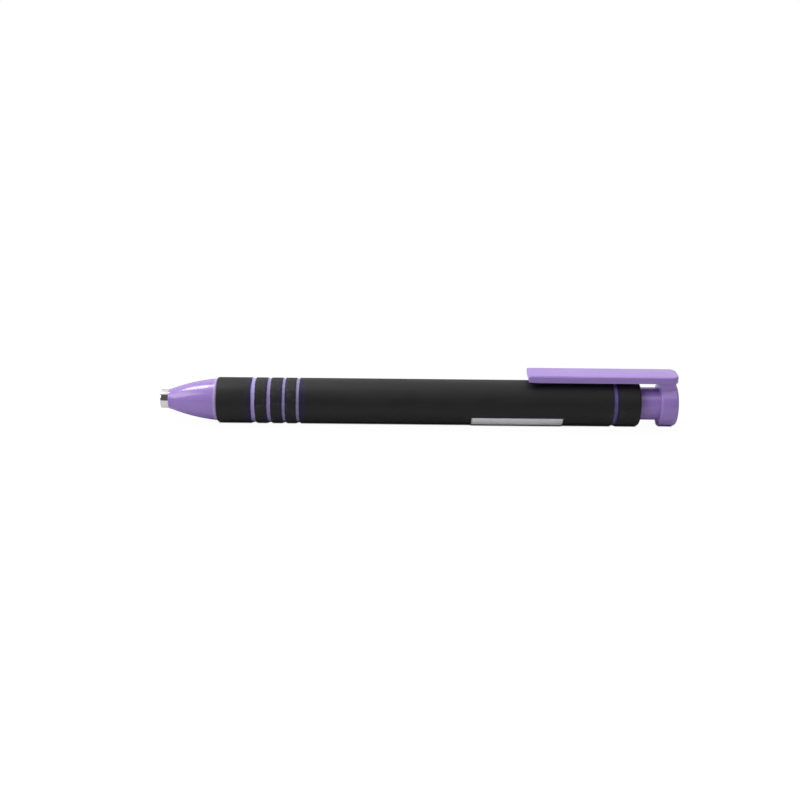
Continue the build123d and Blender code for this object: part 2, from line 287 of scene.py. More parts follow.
# %% Wind a section round the axis as a screw
def filled_ends(piece):
    """Closes the open ends of a swept shape and turns its faces outwards."""
    fresh_selection()
    piece.select_set(True)
    bpy.context.view_layer.objects.active = piece
    bpy.ops.object.mode_set(mode="EDIT")
    bpy.ops.mesh.select_all(action="SELECT")
    bpy.ops.mesh.remove_doubles(threshold=0.002 * MM)
    bpy.ops.mesh.select_all(action="DESELECT")
    bpy.ops.mesh.select_non_manifold(extend=False)
    bpy.ops.mesh.fill_holes(sides=0)
    bpy.ops.mesh.select_all(action="SELECT")
    bpy.ops.mesh.normals_make_consistent(inside=False)
    bpy.ops.object.mode_set(mode="OBJECT")
    return piece


def wound(name, x, radius, section, stretches, steps_per_turn):
    """A closed section of (along, outward) points, wound round the axis in stretches of (turns, pitch)."""
    parts = []
    for turns, pitch in stretches:
        fresh_selection()
        on_axis = (x * MM, 0, axis_height * MM)
        bpy.ops.mesh.primitive_circle_add(vertices=len(section), radius=MM, location=on_axis)
        part = bpy.context.object
        for point, (along, outward) in zip(part.data.vertices, section):
            point.co = (along * MM, 0, (radius + outward) * MM)
        screw = part.modifiers.new("screw", "SCREW")
        screw.axis = "X"
        screw.angle = math.tau
        screw.iterations = turns
        screw.screw_offset = pitch * MM
        screw.steps = screw.render_steps = steps_per_turn
        bpy.ops.object.modifier_apply(modifier="screw")
        x += turns * pitch
        parts.append(part)
    fresh_selection()
    for part in parts:
        part.select_set(True)
    bpy.context.view_layer.objects.active = parts[0]
    if len(parts) > 1:
        bpy.ops.object.join()
    return finish_shape(filled_ends(parts[0]), name, 50)


# %% Thread on the spigot
ridge = [(-0.40, -0.06), (-0.09, 0.30), (0.09, 0.30), (0.40, -0.06)]
thread_front = barrel_front + 1.2
thread_turns, thread_pitch = 7, 1.0
thread = wound("nose_cone_thread", thread_front, thread_root, ridge, [(thread_turns, thread_pitch)], 64)
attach(thread, "nose")
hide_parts("nose_cone")

# %% [markdown]
# ## The metal tip
# A short plated pipe guides the eraser. Its mouth is rolled over, so its front edge is rounder than any
# moulded one. Behind the part that shows, a thinner shank is pressed into the cone.

# %% Tip pipe
shank_rear = tip_front + 5.0 - 0.05
tip_radius, shank_radius, tip_bore = 2.3, 2.2, 1.95
tip_corners = [
    (shank_rear, shank_radius, 0),
    (cone_front, shank_radius, 0),
    (cone_front, tip_radius, 0.04),
    (tip_front, tip_radius, 0.27),
    (tip_front, tip_bore, 0.07),
    (shank_rear, tip_bore, 0),
    (shank_rear, shank_radius, 0),
]
tip = turned("plated_tip", rounded(tip_corners, 7), segments=96)
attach(tip, "nose")
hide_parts("tip_pipe")

# %% [markdown]
# ## The eraser stick
# The eraser is a long round rod of soft white vinyl. Its front end has been rubbed, so it is domed, while
# the rear end is as it was cut. The rod is spun like the rest, with a few rings along it.

# %% Eraser
eraser_low, eraser_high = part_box("eraser_stick")
eraser_front, eraser_rear = eraser_low.x / MM, eraser_high.x / MM
eraser_radius = 1.9
worn_face = (eraser_front + 0.03, 0.7)
worn_end = [
    (*worn_face, 0),
    (eraser_front + 0.12, eraser_radius, 0.42),
    (eraser_front + 1.0, eraser_radius, 0),
]
cut_end = [(eraser_rear - 1.0, eraser_radius, 0), (eraser_rear, eraser_radius, 0.15), (eraser_rear, 0, 0)]
eraser_outline = [(eraser_front, 0), worn_face] + rounded(worn_end, 6)[1:]
for k in range(1, 11):
    eraser_outline.append((eraser_front + 1.0 + k * (eraser_rear - eraser_front - 2.0) / 10, eraser_radius))
eraser_outline += rounded(cut_end, 3)[1:]
eraser = turned("eraser_rod", eraser_outline, segments=64)
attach(eraser, "eraser")
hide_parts("eraser_stick")

# %% [markdown]
# ## The return spring
# The spring is one steel wire, close at both ends and open between. The Screw modifier winds a round
# section about an axis, once for each stretch of equal pitch, and the stretches are joined where they
# meet. When the button goes in by 4 mm, the rear end of the spring goes with it.

# %% Spring
spring_low, spring_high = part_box("return_spring")
spring_front, spring_rear = spring_low.x / MM, spring_high.x / MM
wire_radius = 0.25
spring_radius = 3.7
end_pitch = 0.9
open_turns = 6
round_steps = [k * math.tau / 12 for k in range(12)]
wire = [(wire_radius * math.cos(a), wire_radius * math.sin(a)) for a in round_steps]
open_pitch = (spring_rear - spring_front - 2 * wire_radius - 2 * end_pitch) / open_turns
stretches = [(1, end_pitch), (open_turns, open_pitch), (1, end_pitch)]
spring = wound("wire_spring", spring_front + wire_radius, spring_radius, wire, stretches, 48)
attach(spring, "holder")
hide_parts("return_spring")
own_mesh(spring)

# %% [markdown]
# ## The knock button
# One moulding has three parts: a neck that slides in the barrel, a disc for the thumb, and a block on top
# that carries the clip. The neck and the disc are spun. Two slits let the neck's front end snap into the
# barrel.

# %% Neck and disc
disc_front = pen_rear - 4.2
disc_radius = barrel_radius - 0.1
neck_radius, neck_bore, bead_radius = 4.0, 2.77, 4.25
bead_rear = barrel_rear - 12.37
neck_front = bead_rear - 2.0
thumb_wall_front = pen_rear - 2.5
button_corners = [
    (thumb_wall_front, 0, 0),
    (thumb_wall_front, neck_bore, 0.1),
    (neck_front, neck_bore, 0),
    (neck_front, bead_radius, 0.2),
    (bead_rear, bead_radius, 0.15),
    (bead_rear, neck_radius, 0),
    (disc_front, neck_radius, 0.18),
    (disc_front, disc_radius, 0.5),
    (pen_rear, disc_radius, 0.5),
    (pen_rear, 3.6, 0),
    (pen_rear, 0, 0),
]
button = turned("button_disc", rounded(button_corners, 6), segments=128)

# %% Snap slits in the neck
def plain_box(x0, x1, y0, y1, z0, z1):
    """A box between six planes, in millimetres."""
    fresh_selection()
    middle = ((x0 + x1) / 2 * MM, (y0 + y1) / 2 * MM, (z0 + z1) / 2 * MM)
    bpy.ops.mesh.primitive_cube_add(size=MM, location=middle, scale=(x1 - x0, y1 - y0, z1 - z0))
    bpy.ops.object.transform_apply(location=True, scale=True)
    return bpy.context.object


slit_half_width, slit_length = 0.4, 8
cutter = plain_box(neck_front - 1, neck_front + slit_length, -slit_half_width, slit_half_width,
                   axis_height - 5, axis_height + 5)
slit = button.modifiers.new("slit", "BOOLEAN")
slit.operation = "DIFFERENCE"
slit.solver = "EXACT"
slit.object = cutter
fresh_selection()
bpy.context.view_layer.objects.active = button
bpy.ops.object.modifier_apply(modifier="slit")
bpy.data.objects.remove(cutter)
finish_shape(button, "button_disc")
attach(button, "knock")
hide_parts("knock_button")

# %% [markdown]
# ## The block under the clip
# The block is a little narrower than the clip, and its front face leans forward to hold the clip farther
# out. A cube is placed, its front edges are pulled to their places, and its corners are bevelled. Its
# foot goes into the disc.

# %% Helpers to pick edges by place
def edit(piece, by_edges=False):
    """Opens a piece with nothing selected, for picking points or edges."""
    fresh_selection()
    bpy.context.tool_settings.mesh_select_mode = (not by_edges, by_edges, False)
    piece.select_set(True)
    bpy.context.view_layer.objects.active = piece
    bpy.ops.object.mode_set(mode="EDIT")
    bpy.ops.mesh.select_all(action="DESELECT")
    bpy.ops.object.mode_set(mode="OBJECT")


def pick_points(piece, test):
    """Selects the points whose place in millimetres passes a test, and nothing else."""
    edit(piece)
    for v in piece.data.vertices:
        v.select = bool(test(*(c / MM for c in v.co)))
    bpy.ops.object.mode_set(mode="EDIT")


def pick_edges(piece, test):
    """Selects the edges whose two ends, in millimetres, pass a test, and nothing else."""
    edit(piece, by_edges=True)
    points = piece.data.vertices
    for e in piece.data.edges:
        a, b = (Vector(points[i].co) / MM for i in e.vertices)
        e.select = bool(test(a, b))
    bpy.ops.object.mode_set(mode="EDIT")


HAIR = 0.01


def upright(a, b):
    return abs(a.z - b.z) > 0.1


def bevelled(piece, test, size, segments):
    pick_edges(piece, test)
    bpy.ops.mesh.bevel(offset=size * MM, segments=segments, affect="EDGES")
    bpy.ops.object.mode_set(mode="OBJECT")
    bpy.context.tool_settings.mesh_select_mode = (True, False, False)


# %% Block
clip_low, clip_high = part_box("pocket_clip")
clip_front, clip_rear, clip_top = clip_low.x / MM, clip_high.x / MM, clip_high.z / MM
clip_half_width = clip_high.y / MM
clip_gap = 0.88
clip_under = axis_height + barrel_radius + clip_gap
block_half = clip_half_width - 0.25
block_front, block_rear = disc_front + 0.45, pen_rear - 0.5
block_lean = 1.55
block_foot = axis_height + math.sqrt(disc_radius ** 2 - block_half ** 2)
block_base = axis_height + 2.7
block = plain_box(block_front, block_rear, -block_half, block_half, block_base, clip_under)

pick_points(block, lambda x, y, z: x < block_front + HAIR and z > clip_under - HAIR)
bpy.ops.transform.translate(value=(-block_lean * MM, 0, 0))
bpy.ops.mesh.select_all(action="SELECT")
bpy.ops.mesh.bisect(plane_co=(0, 0, block_foot * MM), plane_no=(0, 0, 1))
bpy.ops.object.mode_set(mode="OBJECT")
pick_points(block, lambda x, y, z: x < block_front - HAIR and z < clip_under - HAIR)
bpy.ops.transform.resize(value=(0, 1, 1), center_override=(block_front * MM, 0, 0))
bpy.ops.object.mode_set(mode="OBJECT")
bevelled(block, lambda a, b: upright(a, b) and min(a.x, b.x) > block_rear - HAIR, 1.0, 8)
bevelled(block, lambda a, b: upright(a, b) and max(a.x, b.x) < block_front + HAIR, 0.15, 3)
finish_shape(block, "button_block")
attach(block, "knock")
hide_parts("knock_button")

# %% [markdown]
# ## The pocket clip
# The clip is a long flat bar with a slightly crowned back, rounded at its rear corners. The lower edge of
# its nose is eased, so that it rides over the edge of a pocket, and a low dome behind the nose grips the
# cloth. A cube gives the bar. Its edges are bevelled, the rear corners by the most, and cuts along it then
# let its back be crowned.

# %% Clip bar
def under_nose(a, b):
    return max(a.x, b.x) < clip_front + 0.4 and max(a.z, b.z) < clip_under + HAIR


clip = plain_box(clip_front, clip_rear, -clip_half_width, clip_half_width, clip_under, clip_top)
bevelled(clip, lambda a, b: upright(a, b) and min(a.x, b.x) > clip_rear - HAIR, 1.8, 12)
bevelled(clip, lambda a, b: upright(a, b) and max(a.x, b.x) < clip_front + HAIR, 0.3, 6)
bevelled(clip, lambda a, b: min(a.z, b.z) > clip_top - HAIR, 0.38, 7)
bevelled(clip, under_nose, 0.3, 7)
for across in (-2.1, -1.4, -0.7, 0, 0.7, 1.4, 2.1):
    edit(clip)
    bpy.ops.object.mode_set(mode="EDIT")
    bpy.ops.mesh.select_all(action="SELECT")
    bpy.ops.mesh.bisect(plane_co=(0, across * MM, 0), plane_no=(0, 1, 0))
    bpy.ops.object.mode_set(mode="OBJECT")
crown = 0.04
for v in clip.data.vertices:
    if v.co.z / MM > clip_top - 0.3:
        v.co.z -= crown * MM * (v.co.y / MM / clip_half_width) ** 2
finish_shape(clip, "clip_bar")

# %% Dome under the clip's nose
dome_radius, dome_stand = 1.6, 0.4
dome_x, dome_z = clip_front + 2.6, clip_under - dome_stand + dome_radius
fresh_selection()
bpy.ops.mesh.primitive_uv_sphere_add(segments=48, ring_count=24, radius=dome_radius * MM,
                                     location=(dome_x * MM, 0, dome_z * MM))
dome = bpy.context.object
bpy.ops.object.transform_apply(location=True)
bpy.ops.object.mode_set(mode="EDIT")
bpy.ops.mesh.select_all(action="SELECT")
dome_cut = (0, 0, (clip_under + 0.3) * MM)
bpy.ops.mesh.bisect(plane_co=dome_cut, plane_no=(0, 0, 1), use_fill=True, clear_outer=True)
bpy.ops.object.mode_set(mode="OBJECT")
finish_shape(dome, "clip_dome")
for piece in (clip, dome):
    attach(piece, "clip")
    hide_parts("pocket_clip")

# %% [markdown]
# ## The side label
# A small pale film is stuck to the barrel, low on the near side. It follows the barrel, so a line along
# the pen is spun upwards through 54 degrees, and the skin that this gives is made a tenth of a millimetre
# thick.

# %% Label
label_low, label_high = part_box("side_label")
label_front, label_rear = label_low.x / MM, label_high.x / MM
label_bottom_angle, label_sweep = 78.0, 54.0
label_skin = barrel_radius + 0.1
film_thickness = 0.095
fresh_selection()
bpy.ops.mesh.primitive_plane_add(size=MM, location=(label_front * MM, 0, axis_height * MM))
label = bpy.context.object
bpy.ops.object.mode_set(mode="EDIT")
bpy.ops.mesh.merge(type="CENTER")
start_angle = math.radians(label_bottom_angle)
nearer, lower = label_skin * math.cos(start_angle), label_skin * math.sin(start_angle)
bpy.ops.transform.translate(value=(0, -nearer * MM, -lower * MM))
along = ((label_rear - label_front) / 12 * MM, 0, 0)
for k in range(12):
    bpy.ops.mesh.extrude_region_move(TRANSFORM_OT_translate={"value": along})
bpy.ops.mesh.select_all(action="SELECT")
bpy.ops.mesh.spin(steps=24, angle=math.radians(label_sweep), center=(0, 0, axis_height * MM), axis=(1, 0, 0))
bpy.ops.mesh.select_all(action="SELECT")
bpy.ops.mesh.normals_make_consistent(inside=False)
bpy.ops.object.mode_set(mode="OBJECT")
middle = label.data.polygons[len(label.data.polygons) // 2]
outwards = middle.normal.dot(middle.center - Vector((middle.center.x, 0, axis_height * MM))) > 0
film = label.modifiers.new("film", "SOLIDIFY")
film.thickness = film_thickness * MM
film.offset = -1 if outwards else 1
bpy.ops.object.modifier_apply(modifier="film")
filled_ends(label)
finish_shape(label, "label_film")
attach(label, "holder")
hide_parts("side_label")

# %% [markdown]
# ## Finishes
# Every finish reads Object coordinates, which on these pieces are metres from the point under the pen's
# middle. The effects that several finishes share are node groups: a fine grain, a slow change of tone,
# specks of dust, and the marks that a cutting tool leaves round a turned part. Each scales the
# coordinates to millimetres first, so that its numbers can be read as real sizes.

# %% Node helpers
def link(tree, source, target):
    tree.links.new(source, target)


def math_node(tree, operation, a, b=None):
    node = tree.nodes.new("ShaderNodeMath")
    node.operation = operation
    for socket, value in zip(node.inputs, (a, b)):
        if value is None:
            continue
        if isinstance(value, (int, float)):
            socket.default_value = value
        else:
            link(tree, value, socket)
    return node.outputs[0]


def remap(tree, value, low_in, high_in, low_out=0.0, high_out=1.0, smooth=True):
    node = tree.nodes.new("ShaderNodeMapRange")
    node.interpolation_type = "SMOOTHSTEP" if smooth else "LINEAR"
    ends = {"From Min": low_in, "From Max": high_in, "To Min": low_out, "To Max": high_out}
    for name, number in ends.items():
        if isinstance(number, (int, float)):
            node.inputs[name].default_value = number
        else:
            link(tree, number, node.inputs[name])
    link(tree, value, node.inputs["Value"])
    return node.outputs["Result"]


def mixed(tree, share, first, second):
    """A colour between two, each a socket or three numbers."""
    node = tree.nodes.new("ShaderNodeMix")
    node.data_type = "RGBA"
    for socket, value in ((node.inputs[0], share), (node.inputs[6], first), (node.inputs[7], second)):
        if isinstance(value, (int, float)):
            socket.default_value = value
        elif isinstance(value, tuple):
            socket.default_value = (*value, 1.0)
        else:
            link(tree, value, socket)
    return node.outputs[2]


def noise(tree, vector, scale, detail=2.0, roughness=0.5):
    node = tree.nodes.new("ShaderNodeTexNoise")
    link(tree, vector, node.inputs["Vector"])
    for name, value in (("Scale", scale), ("Detail", detail), ("Roughness", roughness)):
        if isinstance(value, (int, float)):
            node.inputs[name].default_value = value
        else:
            link(tree, value, node.inputs[name])
    return node.outputs["Fac"]


def in_millimetres(tree, stretch=(1, 1, 1)):
    """Object coordinates in millimetres, measured from the pen's axis."""
    place = tree.nodes.new("ShaderNodeTexCoord")
    scaled = tree.nodes.new("ShaderNodeVectorMath")
    scaled.operation = "MULTIPLY_ADD"
    link(tree, place.outputs["Object"], scaled.inputs[0])
    scaled.inputs[1].default_value = [1000 * s for s in stretch]
    scaled.inputs[2].default_value = (0, 0, -axis_height * stretch[2])
    return scaled.outputs[0]


def new_group(name, inputs, outputs):
    tree = bpy.data.node_groups.new(name, "ShaderNodeTree")
    for label_text, value in inputs:
        socket = tree.interface.new_socket(name=label_text, in_out="INPUT", socket_type="NodeSocketFloat")
        socket.default_value = value
    for label_text in outputs:
        tree.interface.new_socket(name=label_text, in_out="OUTPUT", socket_type="NodeSocketFloat")
    return tree, tree.nodes.new("NodeGroupInput").outputs, tree.nodes.new("NodeGroupOutput").inputs


def use_group(tree, group, **values):
    node = tree.nodes.new("ShaderNodeGroup")
    node.node_tree = group
    for name, value in values.items():
        node.inputs[name.replace("_", " ")].default_value = value
    return node.outputs


print("helpers ready")

# %% Shared effects
fine_grain, given, out = new_group("fine grain", [("Per mm", 8.0), ("Detail", 3.0)], ["Height"])
grain = noise(fine_grain, in_millimetres(fine_grain), given["Per mm"], given["Detail"], 0.6)
link(fine_grain, grain, out["Height"])

slow_tone, given, out = new_group("slow tone", [("Per mm", 0.15)], ["Mask"])
tone = noise(slow_tone, in_millimetres(slow_tone, (0.4, 1, 1)), given["Per mm"], 3.0, 0.55)
link(slow_tone, remap(slow_tone, tone, 0.35, 0.65), out["Mask"])

dust, given, out = new_group("dust", [("Per mm", 2.2), ("From", 0.74)], ["Mask"])
specks = noise(dust, in_millimetres(dust), given["Per mm"], 5.0, 0.75)
full = math_node(dust, "ADD", given["From"], 0.05)
link(dust, remap(dust, specks, given["From"], full), out["Mask"])

tool_marks, given, out = new_group("tool marks", [("Per mm", 6.0), ("Wander", 0.6)], ["Height"])
stretched = in_millimetres(tool_marks, (1, 0.02, 0.02))
fine_lines = noise(tool_marks, stretched, given["Per mm"], 6.0, 0.7)
broad_lines = noise(tool_marks, stretched, 1.1, 2.0, 0.5)
wander = math_node(tool_marks, "MULTIPLY", broad_lines, given["Wander"])
link(tool_marks, math_node(tool_marks, "ADD", fine_lines, wander), out["Height"])
print("groups:", [g.name for g in bpy.data.node_groups])

# %% Start a material
def new_finish(name, roughness, metallic=0.0, **settings):
    """A material with a Principled BSDF whose uniform values are set on its own sockets."""
    material = bpy.data.materials.new(name)
    material.use_nodes = True
    tree = material.node_tree
    shader = tree.nodes["Principled BSDF"]
    shader.inputs["Roughness"].default_value = roughness
    shader.inputs["Metallic"].default_value = metallic
    for key, value in settings.items():
        shader.inputs[key.replace("_", " ")].default_value = value
    return material, tree, shader.inputs


def bumped(tree, sockets, height, strength, depth_mm):
    node = tree.nodes.new("ShaderNodeBump")
    node.inputs["Strength"].default_value = strength
    node.inputs["Distance"].default_value = depth_mm * MM
    link(tree, height, node.inputs["Height"])
    link(tree, node.outputs["Normal"], sockets["Normal"])


def dressed(material, *pieces):
    """Puts one material on pieces or on CAD nodes."""
    for piece in pieces:
        if not piece.material_slots:
            piece.data.materials.append(material)
        for slot in piece.material_slots:
            slot.material = material


print("ready for finishes")

# %% [markdown]
# ## Lilac plastic
# The cone, the button and the clip are the same glossy moulding. Real moulded plastic isn't one flat
# colour: the pigment varies slowly, the gloss is uneven, and a few specks of dust settle on it. The
# cone's rear rim, where it meets the barrel, is painted paler: a painted highlight along its edge. The base
# colour is read from the photograph where neither gloss nor shadow covers it.

# %% Lilac plastic
lilac = (0.345, 0.220, 0.590)
lilac_deep = (0.326, 0.205, 0.568)
lilac_finish, tree, sockets = new_finish("lilac plastic", 0.2, IOR=1.5, Specular_IOR_Level=0.5)
tone = use_group(tree, slow_tone, Per_mm=0.22)["Mask"]
specks = use_group(tree, dust, Per_mm=2.0, From=0.77)["Mask"]
colour = mixed(tree, tone, lilac_deep, lilac)
split = tree.nodes.new("ShaderNodeSeparateXYZ")
link(tree, in_millimetres(tree), split.inputs[0])
# Painted highlight: near the barrel's front edge, the cone's rear rim is mixed towards a paler lilac,
# standing in for light caught by the rim.
from_rim = math_node(tree, "ABSOLUTE", math_node(tree, "SUBTRACT", split.outputs["X"], barrel_front - 0.15))
rim_highlight_share = math_node(tree, "MULTIPLY", remap(tree, from_rim, 0.7, 0.3), 0.45)
colour = mixed(tree, rim_highlight_share, colour, (0.56, 0.49, 0.72))
dusty = mixed(tree, math_node(tree, "MULTIPLY", specks, 0.2), colour, (0.48, 0.4, 0.66))
link(tree, dusty, sockets["Base Color"])
uneven = use_group(tree, slow_tone, Per_mm=0.5)["Mask"]
link(tree, remap(tree, math_node(tree, "ADD", uneven, specks), 0, 2, 0.16, 0.30, False), sockets["Roughness"])
bumped(tree, sockets, use_group(tree, fine_grain, Per_mm=1.6, Detail=2.0)["Height"], 0.08, 0.002)
dressed(lilac_finish, nose_cone, thread, button, block, clip, dome)

# %% [markdown]
# ## The coat and its grooves
# The coat is nearly black and dull, with a fine grain that spreads the light. It was sprayed and then cut
# through, so the edge of the coat at each groove is ragged, a bluish stain runs along it, and a little
# overspray lies in the grooves, more in some than in others. One group measures how far a point lies from
# a groove's middle, moves that distance about with noise, and gives three masks: the bare plastic, the
# stain beside it, which may lean to one side, and patches where the coat is smeared thin. A sliver of
# plastic also shows at the barrel's front edge.

# %% Groove masks
settings = [("Centre", 0.0), ("Half width", 0.5), ("Ragged", 0.12), ("Overspray", 0.3), ("Lean", 0.0)]
groove_mask, given, out = new_group("groove mask", settings, ["Bare", "Stain", "Smear"])
place = in_millimetres(groove_mask)
split = groove_mask.nodes.new("ShaderNodeSeparateXYZ")
link(groove_mask, place, split.inputs[0])
from_centre = math_node(groove_mask, "SUBTRACT", split.outputs["X"], given["Centre"])
away = math_node(groove_mask, "ABSOLUTE", from_centre)
rough_edge = math_node(groove_mask, "SUBTRACT", noise(groove_mask, place, 0.9, 4.0, 0.6), 0.5)
shift = math_node(groove_mask, "MULTIPLY", rough_edge, given["Ragged"])
edge = math_node(groove_mask, "ADD", math_node(groove_mask, "SUBTRACT", away, given["Half width"]), shift)
bare = remap(groove_mask, edge, 0.03, -0.06)
mist = remap(groove_mask, noise(groove_mask, place, 1.1, 3.0, 0.5), 0.3, 0.7, 0.4, 1.0)
cover = math_node(groove_mask, "SUBTRACT", 1.0, math_node(groove_mask, "MULTIPLY", mist, given["Overspray"]))
link(groove_mask, math_node(groove_mask, "MULTIPLY", bare, cover), out["Bare"])
leaning = math_node(groove_mask, "MULTIPLY", from_centre, given["Lean"])
leaned_edge = math_node(groove_mask, "SUBTRACT", edge, leaning)
link(groove_mask, remap(groove_mask, leaned_edge, 0.75, 0.0), out["Stain"])
patches = remap(groove_mask, noise(groove_mask, place, 0.55, 4.0, 0.65), 0.52, 0.72)
near_groove = remap(groove_mask, edge, 2.2, 0.2)
link(groove_mask, math_node(groove_mask, "MULTIPLY", patches, near_groove), out["Smear"])

# %% Coat
coat_finish, tree, sockets = new_finish("black coat", 0.55, IOR=1.45, Specular_IOR_Level=0.28)
cut_looks = [
    ((0.43, 0.36, 0.72), 0.40, 0.10, -0.35),
    ((0.36, 0.31, 0.54), 0.45, 0.25, 0.0),
    ((0.35, 0.31, 0.54), 0.30, 0.30, -0.1),
    ((0.34, 0.31, 0.48), 0.35, 0.30, 0.55),
    ((0.17, 0.14, 0.34), 0.15, 0.50, 0.2),
]
cuts = [(centre, width / 2 - 0.02, *looks) for (centre, width), looks in zip(grooves, cut_looks)]
totals, cut_colours = {}, []
for centre, half_width, cut_colour, ragged, mist_share, stain_lean in cuts:
    masks = use_group(tree, groove_mask, Centre=centre, Half_width=half_width, Ragged=ragged,
                      Overspray=mist_share, Lean=stain_lean)
    cut_colours.append((masks["Bare"], cut_colour))
    for effect in ("Bare", "Stain", "Smear"):
        if effect in totals:
            totals[effect] = math_node(tree, "MAXIMUM", totals[effect], masks[effect])
        else:
            totals[effect] = masks[effect]
tone = use_group(tree, slow_tone, Per_mm=0.3)["Mask"]
specks = use_group(tree, dust, Per_mm=1.6, From=0.77)["Mask"]
black = mixed(tree, tone, (0.0150, 0.0146, 0.0156), (0.0182, 0.0178, 0.0186))
smeared = mixed(tree, math_node(tree, "MULTIPLY", totals["Smear"], 0.7), black, (0.065, 0.057, 0.095))
stained = mixed(tree, math_node(tree, "MULTIPLY", totals["Stain"], 0.85), smeared, (0.016, 0.011, 0.054))
surface = mixed(tree, math_node(tree, "MULTIPLY", specks, 0.15), stained, (0.12, 0.11, 0.11))
front_edge = use_group(tree, groove_mask, Centre=barrel_front, Half_width=0.15, Ragged=0.12, Overspray=0.3)
for bare, cut_colour in (*cut_colours, (front_edge["Bare"], (0.42, 0.31, 0.64))):
    surface = mixed(tree, bare, surface, cut_colour)
link(tree, surface, sockets["Base Color"])
dull = remap(tree, tone, 0, 1, 0.50, 0.60, False)
glossier = math_node(tree, "MULTIPLY", totals["Bare"], -0.25)
link(tree, math_node(tree, "ADD", dull, glossier), sockets["Roughness"])
bumped(tree, sockets, use_group(tree, fine_grain, Per_mm=9.0, Detail=5.0)["Height"], 0.4, 0.008)
dressed(coat_finish, barrel)

# %% [markdown]
# ## Metal
# The tip is plated: bright and smooth, with the faint rings of the tool that turned it. Brass for the
# ring and the jaws shows stronger rings and a warm, slightly tarnished colour. Spring wire is drawn, so
# its marks are fine and its grey is uneven.

# %% Plated tip, brass and spring wire
plated, tree, sockets = new_finish("bright plating", 0.12, metallic=1.0)
tone = use_group(tree, slow_tone, Per_mm=0.9)["Mask"]
link(tree, mixed(tree, tone, (0.68, 0.64, 0.64), (0.77, 0.74, 0.74)), sockets["Base Color"])
link(tree, remap(tree, tone, 0, 1, 0.10, 0.17, False), sockets["Roughness"])
bumped(tree, sockets, use_group(tree, tool_marks, Per_mm=9.0, Wander=0.5)["Height"], 0.25, 0.004)
dressed(plated, tip)

brass, tree, sockets = new_finish("turned brass", 0.28, metallic=1.0)
tone = use_group(tree, slow_tone, Per_mm=0.7)["Mask"]
link(tree, mixed(tree, tone, (0.60, 0.42, 0.17), (0.75, 0.57, 0.27)), sockets["Base Color"])
link(tree, remap(tree, tone, 0, 1, 0.36, 0.22, False), sockets["Roughness"])
bumped(tree, sockets, use_group(tree, tool_marks, Per_mm=7.0, Wander=0.7)["Height"], 0.5, 0.01)
dressed(brass, *(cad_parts[n] for n in ("clutch_ring", "chuck_jaw_1", "chuck_jaw_2", "chuck_jaw_3")))

steel, tree, sockets = new_finish("spring wire", 0.3, metallic=1.0)
tone = use_group(tree, slow_tone, Per_mm=1.4)["Mask"]
link(tree, mixed(tree, tone, (0.46, 0.46, 0.47), (0.62, 0.62, 0.63)), sockets["Base Color"])
link(tree, remap(tree, tone, 0, 1, 0.38, 0.26, False), sockets["Roughness"])
bumped(tree, sockets, use_group(tree, fine_grain, Per_mm=20.0, Detail=2.0)["Height"], 0.3, 0.004)
dressed(steel, spring)

# %% [markdown]
# ## White plastic, rubber and vinyl
# The inner mouldings are natural white plastic, slightly yellow and dull. The ring that holds the eraser
# is soft grey rubber with a powdery bloom. The eraser itself is white vinyl: very dull, with small pores,
# and a few grey smudges of graphite near the end that is used.

# %% Inner mouldings, rubber ring and eraser
natural, tree, sockets = new_finish("natural white plastic", 0.42, IOR=1.5)
tone = use_group(tree, slow_tone, Per_mm=0.3)["Mask"]
link(tree, mixed(tree, tone, (0.72, 0.71, 0.66), (0.80, 0.80, 0.76)), sockets["Base Color"])
link(tree, remap(tree, tone, 0, 1, 0.38, 0.50, False), sockets["Roughness"])
bumped(tree, sockets, use_group(tree, fine_grain, Per_mm=6.0, Detail=3.0)["Height"], 0.3, 0.008)
dressed(natural, *(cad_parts[n] for n in ("clutch_sleeve", "chuck_stem", "tube_adapter", "eraser_tube")))

rubber, tree, sockets = new_finish("grey rubber", 0.75, IOR=1.5)
tone = use_group(tree, slow_tone, Per_mm=1.2)["Mask"]
link(tree, mixed(tree, tone, (0.16, 0.16, 0.16), (0.24, 0.24, 0.235)), sockets["Base Color"])
link(tree, remap(tree, tone, 0, 1, 0.68, 0.85, False), sockets["Roughness"])
bumped(tree, sockets, use_group(tree, fine_grain, Per_mm=12.0, Detail=4.0)["Height"], 0.6, 0.015)
dressed(rubber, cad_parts["eraser_retainer"])

vinyl, tree, sockets = new_finish("eraser vinyl", 0.7, IOR=1.45)
tone = use_group(tree, slow_tone, Per_mm=0.5)["Mask"]
pores = use_group(tree, dust, Per_mm=6.0, From=0.68)["Mask"]
clean = mixed(tree, tone, (0.80, 0.80, 0.77), (0.86, 0.86, 0.84))
split = tree.nodes.new("ShaderNodeSeparateXYZ")
link(tree, in_millimetres(tree), split.inputs[0])
near_end = remap(tree, split.outputs["X"], eraser_front + 1.6, eraser_front)
smudge = math_node(tree, "MULTIPLY", near_end, use_group(tree, slow_tone, Per_mm=1.8)["Mask"])
smudged = mixed(tree, math_node(tree, "MULTIPLY", smudge, 0.55), clean, (0.30, 0.30, 0.31))
porous = mixed(tree, math_node(tree, "MULTIPLY", pores, 0.2), smudged, (0.5, 0.5, 0.48))
link(tree, porous, sockets["Base Color"])
link(tree, remap(tree, smudge, 0, 1, 0.74, 0.55, False), sockets["Roughness"])
bumped(tree, sockets, use_group(tree, fine_grain, Per_mm=7.0, Detail=5.0)["Height"], 0.6, 0.02)
dressed(vinyl, eraser)

# %% [markdown]
# ## The label's film
# The film is matt and pale grey. Its edges pick up a little dirt, which shows as a darker border.

